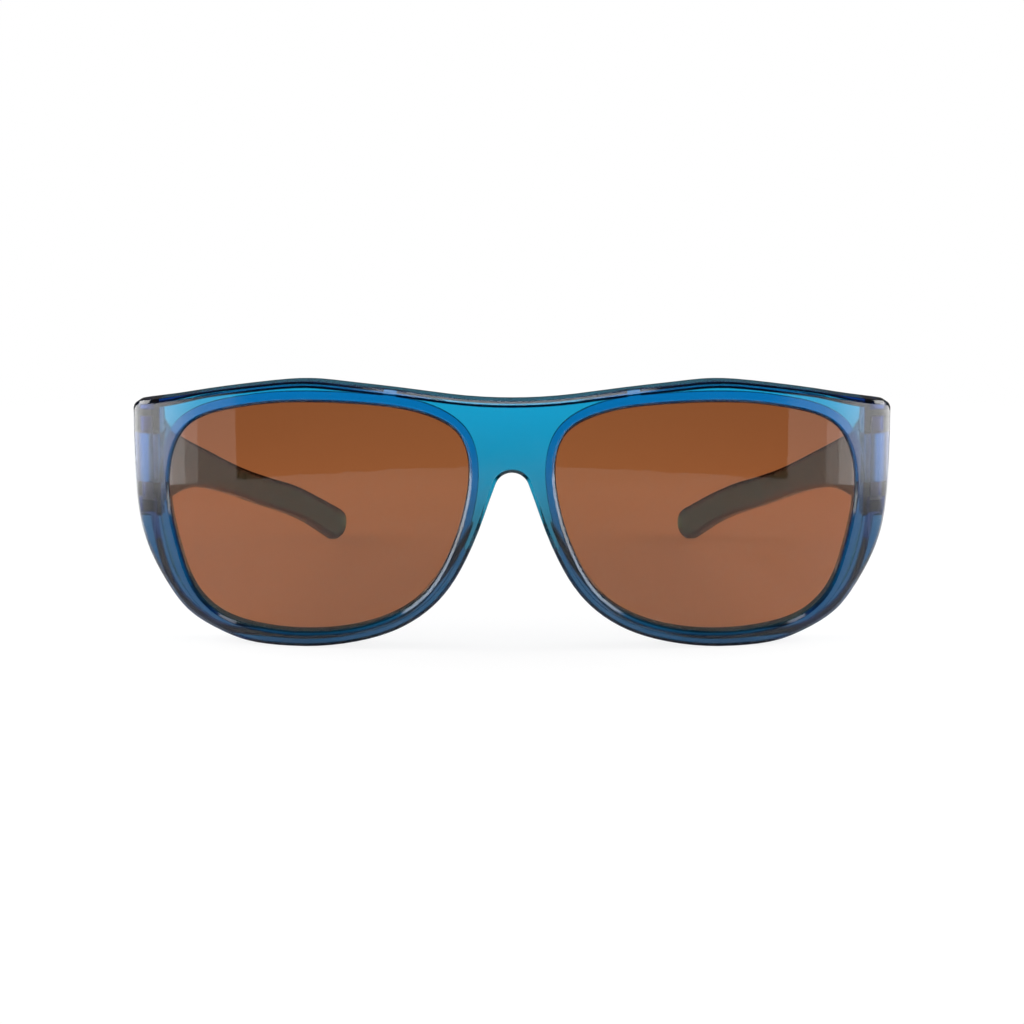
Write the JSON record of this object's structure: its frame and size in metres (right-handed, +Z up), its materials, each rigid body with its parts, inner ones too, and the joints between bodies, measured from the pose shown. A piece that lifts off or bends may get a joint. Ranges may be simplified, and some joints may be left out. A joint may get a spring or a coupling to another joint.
{
  "type": "fitover sunglasses",
  "caption": "Wrap-round sunglasses worn over prescription glasses, with a moulded translucent front, curved tinted lenses and folding temples.",
  "frame": {"origin": "on the table that the open sunglasses stand on, at the middle of their width and depth", "axes": "+X to the wearer's left, +Y from the front to the temple tips, +Z up"},
  "size_m": [0.1472, 0.136, 0.0512],
  "materials": {
    "frame_plastic": "polished translucent blue",
    "temple_plastic": "polished translucent blue",
    "lens_tint": "polished brown tint",
    "screw_steel": "plain turned"
  },
  "bodies": {
    "front": {"front_frame": "frame_plastic", "left_lens": "lens_tint", "right_lens": "lens_tint", "left_hinge_screw": "screw_steel", "right_hinge_screw": "screw_steel"},
    "left_arm": {"left_temple": "temple_plastic"},
    "right_arm": {"right_temple": "temple_plastic"}
  },
  "joints": [
    {"name": "left_fold", "type": "hinge", "parent": "front", "child": "left_arm", "pos_m": [0.0699, -0.048, 0.0354], "axis": [0, 0, 1], "range_deg": [0, 77]},
    {"name": "right_fold", "type": "hinge", "parent": "front", "child": "right_arm", "pos_m": [-0.0699, -0.048, 0.0354], "axis": [0, 0, -1], "range_deg": [0, 72]}
  ]
}
